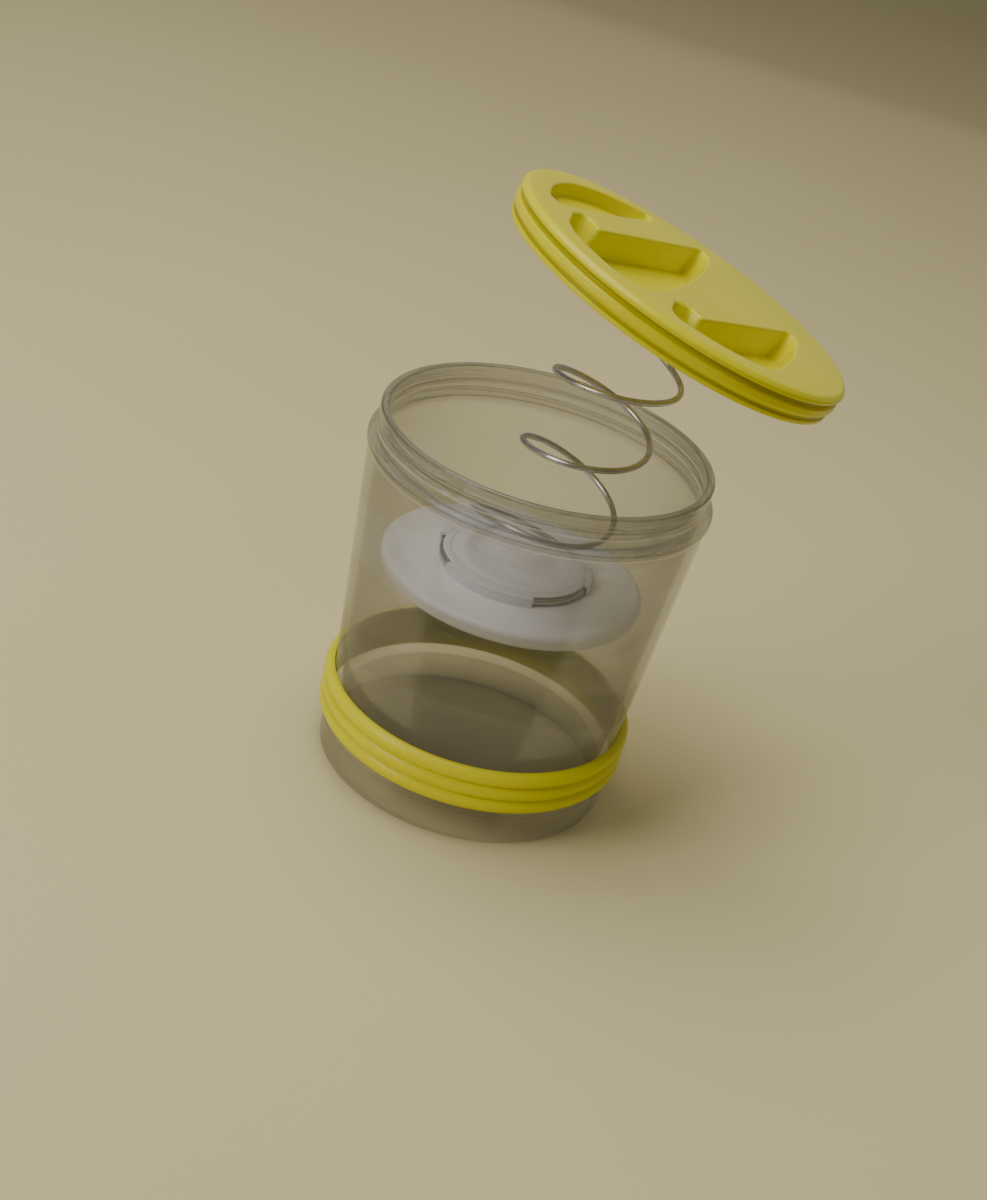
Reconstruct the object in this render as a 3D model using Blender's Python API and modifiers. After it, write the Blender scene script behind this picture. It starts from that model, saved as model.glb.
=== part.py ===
"""Pickle press with its lid lifted off: clear jar, base band, press plate, spring, spring retainer, seal, lid.

Metres, +Z up. The jar's axis is the Z axis and its foot ring stands on Z = 0. The lid is modelled level, with its
own zero at the groove round its side, and then set in the tilted pose in which the spring carries it.
"""

import math

import bmesh
import bpy
from mathutils import Matrix, Vector

# Shared sizes
TURN_STEPS = 60
FIT_GAP = 0.0003
WELD = 0.00001
CUT_OVER = 0.0050
EDGE_BREAK = 0.0006

# Jar: foot ring, floor, tapered body, flange and neck
FOOT_RADIUS = 0.0506
FOOT_INNER_RADIUS = 0.0474
FOOT_FACE_INNER = 0.0482
FOOT_FACE_OUTER = 0.0498
FLOOR_UNDER = 0.0120
FLOOR_TOP = 0.0150
FLOOR_FLAT_RADIUS = 0.0415
FLOOR_CURVE = ((0.0447, 0.0010), (0.0466, 0.0035))
FLOOR_CURVE_TOP = 0.0225
LEDGE_RADIUS = 0.0518
LEDGE_LOW = 0.0112
LEDGE_TOP = 0.0133
BODY_LOW_RADIUS = 0.0503
BODY_LOW = 0.0296
BODY_TOP_RADIUS = 0.0555
BODY_TOP = 0.1092
JAR_WALL = 0.0028
FLANGE_RADIUS = 0.0564
FLANGE_LOW = 0.1108
FLANGE_MIDDLE = 0.1121
FLANGE_TOP = 0.1136
NECK_RADIUS = 0.0540
NECK_INNER_RADIUS = 0.0512
NECK_LOW = 0.1146
RIM_TOP = 0.1238
RIM_ROUND = 0.0007

# Lugs that the lid turns under
LUG_SWEEP_GAP_WIDTH = 0.0470
JAR_LUG_RADIUS = 0.0552
JAR_LUG_HEIGHT = 0.0020

# Base band
BAND_INNER_RADIUS = BODY_LOW_RADIUS + FIT_GAP
BAND_CREST_RADIUS = 0.0535
BAND_VALLEY_RADIUS = 0.0524
BAND_EDGE_RADIUS = 0.0516
BAND_LOW = LEDGE_TOP + FIT_GAP
BAND_TOP = 0.0292
BAND_RIDGES = 3

# Press plate, as it hangs in the photographed pose
PLATE_RADIUS = 0.0440
PLATE_UNDER = 0.0697
PLATE_TOP = 0.0762
PLATE_FLAT_RADIUS = 0.0398
PLATE_BOSS_RADIUS = 0.0217
PLATE_BOSS_TOP = 0.0807
PLATE_DISH_RADIUS = 0.0180
PLATE_DISH_DEPTH = 0.0012
PLATE_HOOK_RADIUS = 0.0264
PLATE_HOOK_LOW = 0.0790
PLATE_HOOKS_DEG = ((218.0, 290.0), (-13.0, 16.0), (128.0, 172.0))
HOOK_ROOT = 0.0015

# Spring wire and course
WIRE_RADIUS = 0.0010
LOW_COIL_RADIUS = 0.0243
LOW_COIL_Z = PLATE_TOP + FIT_GAP + WIRE_RADIUS
TOP_COIL_RADIUS = 0.0175
SPRING_START_DEG = 43.7
LOW_DEAD_TURNS = 0.80
TOP_DEAD_TURNS = 0.62
ACTIVE_TURNS = 4.06
EASE_SHARE = 0.16
POINTS_PER_TURN = 10
GAP_SAMPLES_PER_TURN = 90
LEAST_COIL_GAP = 0.0004

# The open coils' course between plate and lid, at even turns: distance aside, height and coil radius
SPRING_ROUTE = (
    (0.0062, 0.0955, 0.0206),
    (0.0099, 0.1115, 0.0194),
    (0.0123, 0.1263, 0.0189),
    (0.0145, 0.1405, 0.0189),
    (0.0164, 0.1527, 0.0190),
    (0.0188, 0.1615, 0.0186),
)

# Lid, level, with zero at the groove between its two beads
LID_FLOOR_TOP = -0.0049
LID_FLOOR_UNDER = -0.0068
LID_TRAY_INNER = 0.0480
LID_TRAY_OUTER = 0.0492
LID_TOP = 0.0042
LID_TOP_INNER = 0.0500
LID_TOP_OUTER = 0.0538
LID_SHOULDER = (0.0562, 0.0034)
LID_BEAD_RADIUS = 0.0576
LID_LOW_BEAD_RADIUS = 0.0573
LID_BEAD_HEIGHTS = (0.0026, 0.0018, 0.0009)
LID_LOW_BEAD_HEIGHTS = (-0.0009, -0.0023, -0.0040)
BEAD_ROUND = 0.0003
LID_GROOVE_RADIUS = 0.0566
LID_SKIRT_INNER = 0.0555
LID_SKIRT_LOW = -0.0063
LID_CORNER = 0.0015
TRAY_RIM_ROUND = 0.0006
LID_CEILING = 0.0022
LID_LUG_RADIUS = 0.0544
LID_LUG_ROOT_RADIUS = 0.0561
LID_LUG_LOW = -0.0060
LID_LUG_TOP = -0.0038
LID_LUG_TURN_DEG = 45.0
SNAP_RADIUS = 0.0091
SNAP_BEAD_RADIUS = 0.0098
SNAP_BORE_RADIUS = 0.0065
SNAP_BEAD_DEPTH = 0.0034
SNAP_DEPTH = 0.0048

# Two ribs across the lid's tray: each side is a distance off the middle and a direction
RIB_TOP = 0.0040
RIB_ROOT = -0.0060
RIB_REACH = 0.0486
RIB_SIDES = (((-0.0320, 61.0), (-0.0222, 61.0)), ((-0.0010, 77.0), (0.0213, 56.5)))
NOTCH_RADIUS = 0.0085
NOTCHES = ((-0.0225, 0.0002), (-0.0285, 0.0015))
SHALLOW_SIDE = (-0.0315, 61.0)
SHALLOW_FLOOR = 0.0001
RIB_END_POINTS = 5
NOTCH_POINTS = 11
CORE_TOP = 0.0020
CORES = (((-0.0300, -0.0242), (-0.0100, 0.0270)), ((0.0085, 0.0193), (-0.0160, 0.0360)))

# Seal under the lid
SEAL_INNER = LID_TRAY_OUTER + FIT_GAP
SEAL_OUTER = LID_SKIRT_INNER - FIT_GAP
SEAL_THICKNESS = 0.0016
SEAL_TOP = LID_CEILING - FIT_GAP

# Retainer that carries the spring's top coil and turns on the lid's snap boss
RETAINER_BORE = SNAP_RADIUS + FIT_GAP
RETAINER_RADIUS = 0.0210
RETAINER_TOP = LID_FLOOR_UNDER - FIT_GAP
RETAINER_THICKNESS = 0.0028
RETAINER_UNDER = RETAINER_TOP - RETAINER_THICKNESS
RETAINER_BOSS_INNER = 0.0120
RETAINER_BOSS_OUTER = 0.0153
RETAINER_BOSS_DEPTH = 0.0045
RETAINER_END = RETAINER_UNDER - RETAINER_BOSS_DEPTH
RETAINER_HOOK_RADIUS = 0.0193
RETAINER_HOOK_TOP = RETAINER_UNDER - 2 * FIT_GAP - 2 * WIRE_RADIUS
RETAINER_HOOKS_DEG = ((85.0, 130.0), (160.0, 205.0), (240.0, 285.0))
TOP_COIL_Z = RETAINER_UNDER - FIT_GAP - WIRE_RADIUS

# Pose of the lid as it is held off the jar: it leans to one side, and its middle is moved to that side
LEAN_DEG = 9.7
LID_TILT_DEG = 17.6
LID_ASIDE = 0.0265
LID_HEIGHT = 0.17744
LID_CLOSED_HEIGHT = RIM_TOP + FIT_GAP + SEAL_THICKNESS - SEAL_TOP
SEAT_TRAVEL = 0.0160
JAR_LUG_LOW = LID_CLOSED_HEIGHT + LID_LUG_TOP + FIT_GAP

# Colours: base colour, roughness, see-through share
CLEAR = ((0.80, 0.82, 0.80), 0.08, 0.85)
YELLOW = ((0.93, 0.80, 0.05), 0.28, 0.0)
WHITE = ((0.90, 0.88, 0.88), 0.40, 0.0)
STEEL = ((0.55, 0.54, 0.52), 0.25, 0.0)
SEAL_GREY = ((0.86, 0.86, 0.82), 0.55, 0.0)


def clear_scene():
    for obj in list(bpy.data.objects):
        bpy.data.objects.remove(obj, do_unlink=True)


def collections():
    """The part's own collection, and a hidden one for its cutters."""
    part = bpy.data.collections.new("pickle_press")
    helpers = bpy.data.collections.new("pickle_press_cutters")
    helpers.hide_render = True
    for collection in (part, helpers):
        bpy.context.scene.collection.children.link(collection)
    return part, helpers


def material(name, look, metallic=0.0):
    colour, roughness, clear_share = look
    made = bpy.data.materials.new(name)
    made.use_nodes = True
    shader = made.node_tree.nodes["Principled BSDF"]
    shader.inputs["Base Color"].default_value = (*colour, 1.0)
    shader.inputs["Roughness"].default_value = roughness
    shader.inputs["Metallic"].default_value = metallic
    shader.inputs["Transmission Weight"].default_value = clear_share
    made.diffuse_color = (*colour, 1.0 - clear_share / 2)
    return made


def put(name, data, collection, finish=None):
    obj = bpy.data.objects.new(name, data)
    collection.objects.link(obj)
    if finish is not None:
        data.materials.clear()
        data.materials.append(finish)
    return obj


def hide(obj):
    obj.hide_render = True
    obj.display_type = "WIRE"
    return obj


def turned(name, profile, collection, finish=None, closed=False):
    """A solid of revolution about Z. The profile runs down its outer side, and starts and ends on the axis or closes."""
    mesh = bpy.data.meshes.new(name)
    count = len(profile)
    edges = [(i, i + 1) for i in range(count - 1)]
    if closed:
        edges.append((count - 1, 0))
    mesh.from_pydata([(radius, 0.0, height) for radius, height in profile], edges, [])
    obj = put(name, mesh, collection, finish)
    screw = obj.modifiers.new("turn", "SCREW")
    screw.axis = "Z"
    screw.steps = TURN_STEPS
    screw.render_steps = TURN_STEPS
    screw.use_merge_vertices = True
    screw.merge_threshold = WELD
    screw.use_smooth_shade = True
    return obj


def ring(name, inner, outer, low, top, collection, finish=None):
    """A plain ring with square edges."""
    profile = [(inner, top), (outer, top), (outer, low), (inner, low)]
    return turned(name, profile, collection, finish, closed=True)


def slab(name, outline, low, top, collection, finish=None):
    """A flat outline in the XY plane drawn up from low to top, as a closed mesh."""
    curve = bpy.data.curves.new(name + "_outline", "CURVE")
    curve.dimensions = "2D"
    curve.fill_mode = "BOTH"
    curve.extrude = (top - low) / 2
    line = curve.splines.new("POLY")
    line.points.add(len(outline) - 1)
    for point, (x, y) in zip(line.points, outline):
        point.co = (x, y, 0.0, 1.0)
    line.use_cyclic_u = True
    guide = put(name + "_outline", curve, collection)
    bpy.context.view_layer.update()
    graph = bpy.context.evaluated_depsgraph_get()
    mesh = bpy.data.meshes.new_from_object(guide.evaluated_get(graph))
    bpy.data.objects.remove(guide, do_unlink=True)
    mesh.name = name
    mesh.transform(Matrix.Translation((0.0, 0.0, (low + top) / 2)))
    shape = bmesh.new()
    shape.from_mesh(mesh)
    bmesh.ops.remove_doubles(shape, verts=shape.verts, dist=WELD)
    bmesh.ops.recalc_face_normals(shape, faces=shape.faces)
    shape.to_mesh(mesh)
    shape.free()
    return put(name, mesh, collection, finish)


def box(name, low, high, collection):
    mesh = bpy.data.meshes.new(name)
    shape = bmesh.new()
    bmesh.ops.create_cube(shape, size=1.0)
    size = Vector(high) - Vector(low)
    middle = (Vector(high) + Vector(low)) / 2
    bmesh.ops.scale(shape, vec=size, verts=shape.verts)
    bmesh.ops.translate(shape, vec=middle, verts=shape.verts)
    shape.to_mesh(mesh)
    shape.free()
    return put(name, mesh, collection)


def combine(obj, other, operation):
    step = obj.modifiers.new(operation.lower() + "_" + other.name, "BOOLEAN")
    step.operation = operation
    step.solver = "EXACT"
    step.object = hide(other)


def sector(inner, outer, start_deg, end_deg):
    """The outline of a piece of a flat ring between two angles."""
    steps = max(3, round((end_deg - start_deg) / 6))
    angles = [math.radians(start_deg + (end_deg - start_deg) * i / steps) for i in range(steps + 1)]
    outside = [(outer * math.cos(a), outer * math.sin(a)) for a in angles]
    inside = [(inner * math.cos(a), inner * math.sin(a)) for a in reversed(angles)]
    return outside + inside


def lug_ring(name, inner, outer, low, top, turn_deg, helpers):
    """A ring that two crossed cutters break into four lugs."""
    lugs = ring(name, inner, outer, low, top, helpers)
    reach = outer + CUT_OVER
    half = LUG_SWEEP_GAP_WIDTH / 2
    spans = (((-reach, -half), (reach, half)), ((-half, -reach), (half, reach)))
    for i, (near, far) in enumerate(spans):
        gap = box(f"{name}_gap_{i}", (*near, low - CUT_OVER), (*far, top + CUT_OVER), helpers)
        gap.data.transform(Matrix.Rotation(math.radians(turn_deg), 4, "Z"))
        combine(lugs, gap, "DIFFERENCE")
    return lugs


def make_jar(part, helpers):
    """The clear jar: one moulding with its foot ring, floor, flange, neck and four lugs."""
    inside_low = BODY_LOW_RADIUS - JAR_WALL
    inside_top = BODY_TOP_RADIUS - JAR_WALL
    profile = [(0.0, FLOOR_TOP), (FLOOR_FLAT_RADIUS, FLOOR_TOP)]
    profile += [(radius, FLOOR_TOP + rise) for radius, rise in FLOOR_CURVE]
    profile += [
        (inside_low, FLOOR_CURVE_TOP),
        (inside_low, BODY_LOW),
        (inside_top, BODY_TOP),
        (NECK_INNER_RADIUS + RIM_ROUND, FLANGE_TOP - RIM_ROUND),
        (NECK_INNER_RADIUS, NECK_LOW),
        (NECK_INNER_RADIUS, RIM_TOP - RIM_ROUND),
        (NECK_INNER_RADIUS + RIM_ROUND, RIM_TOP),
        (NECK_RADIUS - RIM_ROUND, RIM_TOP),
        (NECK_RADIUS, RIM_TOP - RIM_ROUND),
        (NECK_RADIUS, NECK_LOW),
        (NECK_RADIUS + RIM_ROUND, FLANGE_TOP),
        (FLANGE_RADIUS - RIM_ROUND, FLANGE_TOP - RIM_ROUND / 2),
        (FLANGE_RADIUS, FLANGE_MIDDLE),
        (FLANGE_RADIUS - RIM_ROUND, FLANGE_LOW),
        (BODY_TOP_RADIUS, BODY_TOP),
        (BODY_LOW_RADIUS, BODY_LOW),
        (BODY_LOW_RADIUS, LEDGE_TOP),
        (LEDGE_RADIUS, LEDGE_TOP),
        (LEDGE_RADIUS, LEDGE_LOW),
        (FOOT_RADIUS, LEDGE_LOW - EDGE_BREAK),
        (FOOT_RADIUS, EDGE_BREAK),
        (FOOT_FACE_OUTER, 0.0),
        (FOOT_FACE_INNER, 0.0),
        (FOOT_INNER_RADIUS, EDGE_BREAK),
        (FOOT_INNER_RADIUS, FLOOR_UNDER - EDGE_BREAK),
        (FOOT_INNER_RADIUS - EDGE_BREAK, FLOOR_UNDER),
        (0.0, FLOOR_UNDER),
    ]
    jar = turned("jar", profile, part, material("clear_plastic", CLEAR))
    inner = NECK_RADIUS - JAR_WALL / 2
    lug_top = JAR_LUG_LOW + JAR_LUG_HEIGHT
    lugs = lug_ring("jar_lugs", inner, JAR_LUG_RADIUS, JAR_LUG_LOW, lug_top, 0.0, helpers)
    combine(jar, lugs, "UNION")
    return jar


def make_base_band(part):
    """The yellow band: three rounded ridges round the jar's foot."""
    pitch = (BAND_TOP - BAND_LOW) / BAND_RIDGES
    shoulder = (BAND_CREST_RADIUS + BAND_VALLEY_RADIUS) / 2
    crest_share, shoulder_share = 0.5, 0.18
    profile = [(BAND_INNER_RADIUS, BAND_TOP), (BAND_EDGE_RADIUS, BAND_TOP)]
    for i in range(BAND_RIDGES):
        top = BAND_TOP - i * pitch
        profile += [
            (shoulder, top - shoulder_share * pitch),
            (BAND_CREST_RADIUS, top - crest_share * pitch),
            (shoulder, top - (1 - shoulder_share) * pitch),
        ]
        if i < BAND_RIDGES - 1:
            profile.append((BAND_VALLEY_RADIUS, top - pitch))
    profile += [(BAND_EDGE_RADIUS, BAND_LOW), (BAND_INNER_RADIUS, BAND_LOW)]
    return turned("base_band", profile, part, material("yellow_band", YELLOW), closed=True)


def make_press_plate(part, helpers):
    """The white disc with a boss that the spring's low coil lies round, and three hooks over the wire."""
    edge = PLATE_RADIUS - PLATE_FLAT_RADIUS
    thickness = PLATE_TOP - PLATE_UNDER
    near_share, far_share, side_share = 0.62, 0.92, 0.14
    profile = [
        (0.0, PLATE_BOSS_TOP - PLATE_DISH_DEPTH),
        (PLATE_DISH_RADIUS - PLATE_DISH_DEPTH, PLATE_BOSS_TOP - PLATE_DISH_DEPTH),
        (PLATE_DISH_RADIUS, PLATE_BOSS_TOP),
        (PLATE_BOSS_RADIUS, PLATE_BOSS_TOP),
        (PLATE_BOSS_RADIUS, PLATE_TOP),
        (PLATE_FLAT_RADIUS, PLATE_TOP),
        (PLATE_FLAT_RADIUS + edge * near_share, PLATE_TOP - thickness * side_share),
        (PLATE_FLAT_RADIUS + edge * far_share, PLATE_TOP - thickness * side_share * 2),
        (PLATE_RADIUS, PLATE_TOP - thickness / 2),
        (PLATE_FLAT_RADIUS + edge * far_share, PLATE_UNDER + thickness * side_share * 2),
        (PLATE_FLAT_RADIUS + edge * near_share, PLATE_UNDER + thickness * side_share),
        (PLATE_FLAT_RADIUS, PLATE_UNDER),
        (0.0, PLATE_UNDER),
    ]
    plate = turned("press_plate", profile, part, material("white_plastic", WHITE))
    low, top = PLATE_HOOK_LOW, PLATE_BOSS_TOP - FIT_GAP
    for i, (start, end) in enumerate(PLATE_HOOKS_DEG):
        outline = sector(PLATE_BOSS_RADIUS - HOOK_ROOT, PLATE_HOOK_RADIUS, start, end)
        combine(plate, slab(f"plate_hook_{i}", outline, low, top, helpers), "UNION")
    return plate


def lean(aside, height):
    """A point in the upright plane in which the lid leans: a distance aside from the jar's axis, and a height."""
    return Matrix.Rotation(math.radians(LEAN_DEG), 3, "Z") @ Vector((aside, 0.0, height))


def lid_matrix():
    """From the level lid's own frame to the pose in which it is held off the jar."""
    turn = Matrix.Rotation(math.radians(LEAN_DEG), 4, "Z")
    tilt = Matrix.Rotation(math.radians(LID_TILT_DEG), 4, "Y")
    return Matrix.Translation(lean(LID_ASIDE, LID_HEIGHT)) @ turn @ tilt @ turn.inverted()


def swing_axis_point():
    """The point about which the held lid swings until it is level and centred over the jar, ready to seat."""
    level = LID_CLOSED_HEIGHT + SEAT_TRAVEL
    rise = LID_HEIGHT - level
    reach = 1 / (2 * math.tan(math.radians(LID_TILT_DEG) / 2))
    return lean(LID_ASIDE / 2 + rise * reach, (LID_HEIGHT + level) / 2 - LID_ASIDE * reach)


def lid_profile():
    """Floor of the tray, ring, two beads, skirt, ceiling, tray underside and the snap boss."""
    high, middle, low = LID_BEAD_HEIGHTS
    under_high, under_middle, under_low = LID_LOW_BEAD_HEIGHTS
    snap_bead = LID_FLOOR_UNDER - SNAP_BEAD_DEPTH
    snap_end = LID_FLOOR_UNDER - SNAP_DEPTH
    return [
        (0.0, LID_FLOOR_TOP),
        (LID_TRAY_INNER - LID_CORNER, LID_FLOOR_TOP),
        (LID_TRAY_INNER - TRAY_RIM_ROUND, LID_FLOOR_TOP + LID_CORNER),
        (LID_TRAY_INNER, LID_TOP - 2 * TRAY_RIM_ROUND),
        (LID_TRAY_INNER + TRAY_RIM_ROUND, LID_TOP - TRAY_RIM_ROUND / 2),
        (LID_TOP_INNER, LID_TOP),
        (LID_TOP_OUTER, LID_TOP),
        LID_SHOULDER,
        (LID_BEAD_RADIUS - BEAD_ROUND, high),
        (LID_BEAD_RADIUS, middle),
        (LID_BEAD_RADIUS - BEAD_ROUND, low),
        (LID_GROOVE_RADIUS, 0.0),
        (LID_LOW_BEAD_RADIUS - BEAD_ROUND, under_high),
        (LID_LOW_BEAD_RADIUS, under_middle),
        (LID_LOW_BEAD_RADIUS - BEAD_ROUND, under_low),
        (LID_LOW_BEAD_RADIUS - EDGE_BREAK - BEAD_ROUND, LID_SKIRT_LOW),
        (LID_SKIRT_INNER + BEAD_ROUND, LID_SKIRT_LOW),
        (LID_SKIRT_INNER, LID_SKIRT_LOW + BEAD_ROUND),
        (LID_SKIRT_INNER, LID_CEILING),
        (LID_TRAY_OUTER, LID_CEILING),
        (LID_TRAY_OUTER, LID_FLOOR_UNDER + LID_CORNER),
        (LID_TRAY_OUTER - LID_CORNER, LID_FLOOR_UNDER),
        (SNAP_RADIUS, LID_FLOOR_UNDER),
        (SNAP_RADIUS, snap_bead),
        (SNAP_BEAD_RADIUS, snap_bead - FIT_GAP),
        (SNAP_BEAD_RADIUS, (snap_bead + snap_end) / 2),
        (SNAP_RADIUS, snap_end),
        (SNAP_BORE_RADIUS, snap_end),
        (SNAP_BORE_RADIUS, LID_FLOOR_UNDER),
        (0.0, LID_FLOOR_UNDER),
    ]


def side_point(side, along):
    """A point on a straight side in plan, from its foot nearest the middle."""
    offset, direction = side[0], math.radians(side[1])
    across = Vector((math.sin(direction), -math.cos(direction)))
    return offset * across + along * Vector((math.cos(direction), math.sin(direction)))


def end_arc(first, last, sign):
    """Points on the circle that bounds the ribs, from one side's end to another's."""
    ends = [side_point(side, sign * math.sqrt(RIB_REACH**2 - side[0] ** 2)) for side in (first, last)]
    turn = ends[0].angle_signed(ends[1])
    step = turn / (RIB_END_POINTS - 1)
    return [Matrix.Rotation(-step * i, 2) @ ends[0] for i in range(RIB_END_POINTS)]


def rib_outline(far, near, notch):
    """A bar across the tray between two sides, its ends on a circle, with a round notch in its near side."""
    along, outside = notch
    opening = math.acos(outside / NOTCH_RADIUS)
    bite = []
    for i in range(NOTCH_POINTS):
        angle = math.pi + opening * (1 - 2 * i / (NOTCH_POINTS - 1))
        side = (near[0] + outside + NOTCH_RADIUS * math.cos(angle), near[1])
        bite.append(side_point(side, along + NOTCH_RADIUS * math.sin(angle)))
    if sin_first(bite, near) > sin_first(bite[::-1], near):
        bite.reverse()
    return end_arc(far, near, -1) + bite + end_arc(near, far, 1)


def sin_first(points, side):
    """How far along a side the first of some points lies."""
    return points[0].dot(side_point((0.0, side[1]), 1.0))


def shallow_outline():
    """The part of the tray beyond the first rib."""
    offset, direction = SHALLOW_SIDE
    ends = [math.degrees(math.acos(offset / RIB_REACH)) * sign for sign in (-1, 1)]
    steps = 2 * RIB_END_POINTS
    start, finish = ends[1], 360.0 + ends[0]
    angles = [math.radians(direction - 90.0 + start + (finish - start) * i / steps) for i in range(steps + 1)]
    return [(RIB_REACH * math.cos(angle), RIB_REACH * math.sin(angle)) for angle in angles]


def make_lid(part, helpers, carrier):
    """The yellow lid: a ring with two beads, a sunk tray with two ribs, a skirt with four lugs, and a snap boss."""
    lid = turned("lid", lid_profile(), part, material("yellow_lid", YELLOW))
    pieces = []
    for i, ((far, near), notch) in enumerate(zip(RIB_SIDES, NOTCHES)):
        rib = slab(f"lid_rib_{i}", rib_outline(far, near, notch), RIB_ROOT, RIB_TOP, helpers)
        combine(lid, rib, "UNION")
        pieces.append(rib)
    shallow = slab("lid_shallow_floor", shallow_outline(), RIB_ROOT, SHALLOW_FLOOR, helpers)
    combine(lid, shallow, "UNION")
    pieces.append(shallow)
    for i, ((near_edge, far_edge), (start, end)) in enumerate(CORES):
        direction = RIB_SIDES[i][1][1]
        core = box(
            f"lid_core_{i}", (near_edge, start, LID_FLOOR_UNDER - CUT_OVER), (far_edge, end, CORE_TOP), helpers
        )
        core.data.transform(Matrix.Rotation(math.radians(direction - 90.0), 4, "Z"))
        combine(lid, core, "DIFFERENCE")
        pieces.append(core)
    lugs = lug_ring(
        "lid_lugs", LID_LUG_RADIUS, LID_LUG_ROOT_RADIUS, LID_LUG_LOW, LID_LUG_TOP, LID_LUG_TURN_DEG, helpers
    )
    combine(lid, lugs, "UNION")
    pieces.append(lugs)
    gaps = [helper for helper in helpers.objects if helper.name.startswith("lid_lugs_gap")]
    for obj in [lid] + pieces + gaps:
        obj.parent = carrier
    return lid


def make_seal(part, carrier):
    seal = ring(
        "lid_seal", SEAL_INNER, SEAL_OUTER, SEAL_TOP - SEAL_THICKNESS, SEAL_TOP, part, material("seal", SEAL_GREY)
    )
    seal.parent = carrier
    return seal


def make_retainer(part, helpers, carrier):
    """The white ring under the lid that holds the spring's top coil and lets the lid turn over it."""
    profile = [
        (RETAINER_BORE, RETAINER_TOP),
        (RETAINER_RADIUS, RETAINER_TOP),
        (RETAINER_RADIUS, RETAINER_UNDER),
        (RETAINER_BOSS_OUTER, RETAINER_UNDER),
        (RETAINER_BOSS_OUTER, RETAINER_END),
        (RETAINER_BOSS_INNER, RETAINER_END),
        (RETAINER_BOSS_INNER, RETAINER_UNDER),
        (RETAINER_BORE, RETAINER_UNDER),
    ]
    retainer = turned("spring_retainer", profile, part, material("retainer_plastic", WHITE), closed=True)
    retainer.parent = carrier
    for i, (start, end) in enumerate(RETAINER_HOOKS_DEG):
        outline = sector(RETAINER_BOSS_OUTER - HOOK_ROOT, RETAINER_HOOK_RADIUS, start, end)
        hook = slab(f"retainer_hook_{i}", outline, RETAINER_END + FIT_GAP, RETAINER_HOOK_TOP, helpers)
        hook.parent = carrier
        combine(retainer, hook, "UNION")
    return retainer


def smooth(value):
    value = min(1.0, max(0.0, value))
    return value * value * (3 - 2 * value)


def stations():
    """The spring's course with its two ends: on the plate, and under the retainer."""
    tilt = math.radians(LID_TILT_DEG)
    top = (LID_ASIDE + TOP_COIL_Z * math.sin(tilt), LID_HEIGHT + TOP_COIL_Z * math.cos(tilt), TOP_COIL_RADIUS)
    return [(0.0, LOW_COIL_Z, LOW_COIL_RADIUS), *SPRING_ROUTE, top]


def course(share):
    """Distance aside, height and coil radius at a share of the open coils, on a smooth curve through the stations."""
    places = [Vector(place) for place in stations()]
    last = len(places) - 1
    at = min(1.0, max(0.0, share)) * last
    i = min(int(at), last - 1)
    part = at - i
    slopes = [(places[min(k + 1, last)] - places[max(k - 1, 0)]) / (min(k + 1, last) - max(k - 1, 0)) for k in (i, i + 1)]
    rest = 1 - part
    value = places[i] * rest**2 * (1 + 2 * part) + places[i + 1] * part**2 * (3 - 2 * part)
    return value + slopes[0] * part * rest**2 - slopes[1] * part**2 * rest


def spring_point(turns):
    """The wire's centre at a number of turns, zero where it leaves the plate, below zero on the low dead coil."""
    angle = math.radians(SPRING_START_DEG) + 2 * math.pi * turns
    share = min(1.0, max(0.0, turns / ACTIVE_TURNS))
    aside, height, radius = course(share)
    step = 1 / POINTS_PER_TURN / ACTIVE_TURNS
    change = course(share + step) - course(share - step)
    along = lean(change[0], change[1]).normalized()
    upright = Vector((0.0, 0.0, 1.0))
    lid_up = lid_matrix().to_3x3() @ upright
    low_part = 1 - smooth(share / EASE_SHARE)
    high_part = smooth((share - 1) / EASE_SHARE + 1)
    along = (along * (1 - low_part) + upright * low_part).normalized()
    along = (along * (1 - high_part) + lid_up * high_part).normalized()
    depth = Matrix.Rotation(math.radians(LEAN_DEG), 3, "Z") @ Vector((0.0, 1.0, 0.0))
    side = depth.cross(along).normalized()
    return lean(aside, height) + radius * (math.cos(angle) * side + math.sin(angle) * depth)


def spring_line(per_turn):
    """Points along the wire, with each end straight for one wire thickness."""
    first, last = -LOW_DEAD_TURNS, ACTIVE_TURNS + TOP_DEAD_TURNS
    count = round((last - first) * per_turn)
    points = [spring_point(first + (last - first) * i / count) for i in range(count + 1)]
    for end, after in ((0, 1), (-1, -2)):
        away = (points[end] - points[after]).normalized()
        points.insert(0 if end == 0 else len(points), points[end] + away * 2 * WIRE_RADIUS)
    return points


def least_gap():
    """The smallest space between the wire and itself a third of a turn or more away."""
    points = spring_line(GAP_SAMPLES_PER_TURN)
    skip = GAP_SAMPLES_PER_TURN // 3
    least = min(
        (points[i] - points[j]).length for i in range(0, len(points), 2) for j in range(i + skip, len(points), 2)
    )
    return least - 2 * WIRE_RADIUS


def make_spring(part):
    """The round-wire spring: one dead coil on the plate, open coils, one dead coil on the retainer."""
    points = spring_line(POINTS_PER_TURN)
    curve = bpy.data.curves.new("press_spring", "CURVE")
    curve.dimensions = "3D"
    curve.bevel_depth = WIRE_RADIUS
    curve.bevel_resolution = 1
    curve.use_fill_caps = True
    curve.twist_mode = "MINIMUM"
    line = curve.splines.new("POLY")
    line.points.add(len(points) - 1)
    for target, point in zip(line.points, points):
        target.co = (*point, 1.0)
    spring = put("press_spring", curve, part, material("spring_steel", STEEL, metallic=1.0))
    weld = spring.modifiers.new("weld_caps", "WELD")
    weld.merge_threshold = WELD
    gap = least_gap()
    print(f"press_spring: least gap to itself {gap * 1000:.2f} mm, wanted over {LEAST_COIL_GAP * 1000:.1f} mm")
    return spring


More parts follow.
